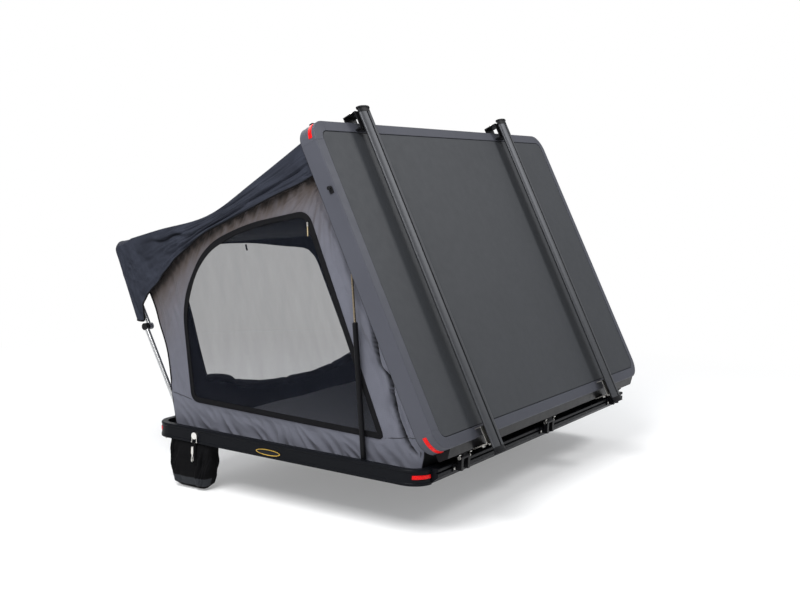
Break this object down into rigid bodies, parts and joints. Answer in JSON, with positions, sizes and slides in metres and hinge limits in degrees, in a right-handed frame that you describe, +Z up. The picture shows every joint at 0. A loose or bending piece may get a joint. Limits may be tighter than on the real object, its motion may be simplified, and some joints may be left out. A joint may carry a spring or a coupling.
{
  "type": "roof top tent",
  "caption": "Hard-shell roof top tent, lid raised on gas struts, with cargo bars, fabric walls, net windows, an awning on a folding bow and a hanging shoe bag.",
  "frame": {"origin": "centre of the bolt pattern on the underside of the mounting rails, which is the tray's bottom plane", "axes": "+X along the hinge to the right seen from the hinge side, +Y from the hinge side to the entrance side, +Z up"},
  "size_m": [2.11, 1.909, 1.6677],
  "materials": {
    "tray_frame": "satin black",
    "tray_floor": "matt",
    "lid_shell": "powder coated, fine grain",
    "lid_panel": "matt slate grey",
    "black_steel": "satin black",
    "stainless": "bright",
    "bar_alloy": "anodised grey",
    "black_plastic": "matt",
    "reflector": "red, glossy",
    "seal_rubber": "matt",
    "pole_alloy": "bright drawn",
    "rod_steel": "bright, warm",
    "canvas": "woven",
    "fly_cloth": "coated, slight sheen",
    "net": "fine mesh",
    "bedding": "knit cover",
    "bag_cloth": "heavy woven"
  },
  "bodies": {
    "base": {"base_floor": "tray_floor", "base_rail_left": "tray_frame", "base_rail_right": "tray_frame", "base_rail_front": "tray_frame", "base_rail_rear": "tray_frame", "base_corners": "tray_frame", "base_reflectors": "reflector", "mount_rails": "bar_alloy", "mattress": "bedding", "hinge_base_leaves": "black_steel", "hinge_pins": "stainless", "hinge_base_screws": "stainless", "latch_plates": "stainless", "strut_brackets": "stainless", "bow_brackets": "black_steel", "bag_hook": "stainless"},
    "lid": {"hinge_lid_leaves": "black_steel", "hinge_lid_screws": "stainless", "lid_rail_left": "lid_shell", "lid_rail_right": "lid_shell", "lid_rail_front": "lid_shell", "lid_rail_rear": "lid_shell", "lid_corners": "lid_shell", "lid_panel": "lid_panel", "lid_lining": "bedding", "lid_seal": "seal_rubber", "lid_hinge_rail": "black_steel", "lid_reflectors": "reflector", "lid_side_hooks": "black_plastic", "bar_left": "bar_alloy", "bar_right": "bar_alloy", "bar_end_caps": "black_plastic", "bar_feet": "stainless", "bar_foot_bolts": "stainless", "latch_keepers": "black_steel", "strut_studs": "stainless", "side_wall_left": "canvas", "side_wall_right": "canvas", "window_mesh_left": "net", "window_mesh_right": "net", "rear_wall": "canvas", "door_mesh": "net", "door_roll": "canvas", "rain_fly": "fly_cloth"},
    "strut_tube_left": {"strut_tube_left": "black_steel"},
    "strut_tube_right": {"strut_tube_right": "black_steel"},
    "strut_rod_left": {"strut_rod_left": "rod_steel"},
    "strut_rod_right": {"strut_rod_right": "rod_steel"},
    "bow_lower": {"bow_lower_left": "pole_alloy", "bow_lower_right": "pole_alloy", "bow_knuckles": "black_plastic"},
    "bow_upper": {"bow_upper": "pole_alloy"},
    "latch_lever_left": {"latch_lever_left": "black_steel"},
    "latch_lever_right": {"latch_lever_right": "black_steel"},
    "latch_bail_left": {"latch_bail_left": "stainless"},
    "latch_bail_right": {"latch_bail_right": "stainless"},
    "shoe_bag": {"shoe_bag": "bag_cloth", "bag_strap": "bag_cloth"}
  },
  "joints": [
    {"name": "lid_hinge", "type": "hinge", "parent": "base", "child": "lid", "pos_m": [0, -0.743, 0.084], "axis": [1, 0, 0], "range_deg": [-62.65, 0], "stiffness_Nm_per_rad": 84, "springref_deg": 80.21, "deforming": ["side_wall_left", "side_wall_right", "window_mesh_left", "window_mesh_right", "rear_wall", "door_mesh", "door_roll", "rain_fly"]},
    {"name": "strut_swing_left", "type": "hinge", "parent": "base", "child": "strut_tube_left", "pos_m": [-0.99, -0.4, 0.045], "axis": [1, 0, 0], "range_deg": [-79.49, 0]},
    {"name": "strut_slide_left", "type": "slide", "parent": "strut_tube_left", "child": "strut_rod_left", "axis": [0, 0.102, 0.9948], "range_m": [-0.2818, 0]},
    {"name": "strut_swing_right", "type": "hinge", "parent": "base", "child": "strut_tube_right", "pos_m": [0.99, -0.4, 0.045], "axis": [1, 0, 0], "range_deg": [-79.49, 0]},
    {"name": "strut_slide_right", "type": "slide", "parent": "strut_tube_right", "child": "strut_rod_right", "axis": [0, 0.102, 0.9948], "range_m": [-0.2818, 0]},
    {"name": "bow_hinge", "type": "hinge", "parent": "base", "child": "bow_lower", "pos_m": [0, 0.618, 0.078], "axis": [1, 0, 0], "range_deg": [0, 116.1]},
    {"name": "bow_knee", "type": "hinge", "parent": "bow_lower", "child": "bow_upper", "pos_m": [0, 0.83132, 0.46283], "axis": [1, 0, 0], "range_deg": [-176.1, 0]},
    {"name": "latch_left", "type": "hinge", "parent": "base", "child": "latch_lever_left", "pos_m": [-0.93, 0.707, 0.042], "axis": [1, 0, 0], "range_deg": [0, 75]},
    {"name": "bail_left", "type": "hinge", "parent": "latch_lever_left", "child": "latch_bail_left", "pos_m": [-0.93, 0.707, 0.031], "axis": [1, 0, 0], "range_deg": [0, 105]},
    {"name": "latch_right", "type": "hinge", "parent": "base", "child": "latch_lever_right", "pos_m": [0.93, 0.707, 0.042], "axis": [1, 0, 0], "range_deg": [0, 75]},
    {"name": "bail_right", "type": "hinge", "parent": "latch_lever_right", "child": "latch_bail_right", "pos_m": [0.93, 0.707, 0.031], "axis": [1, 0, 0], "range_deg": [0, 105]},
    {"name": "bag_swing", "type": "hinge", "parent": "base", "child": "shoe_bag", "pos_m": [-1.047, 0.447, 0.006], "axis": [0, 1, 0], "range_deg": [0, 20]}
  ],
  "couplings": [
    {"joint": "strut_swing_left", "follows": "lid_hinge", "ratio": 1.268},
    {"joint": "strut_slide_left", "follows": "lid_hinge", "m_per_rad": 0.25755},
    {"joint": "strut_swing_right", "follows": "lid_hinge", "ratio": 1.268},
    {"joint": "strut_slide_right", "follows": "lid_hinge", "m_per_rad": 0.25755},
    {"joint": "bow_hinge", "follows": "lid_hinge", "ratio": -1.8516},
    {"joint": "bow_knee", "follows": "lid_hinge", "ratio": 2.8093}
  ]
}
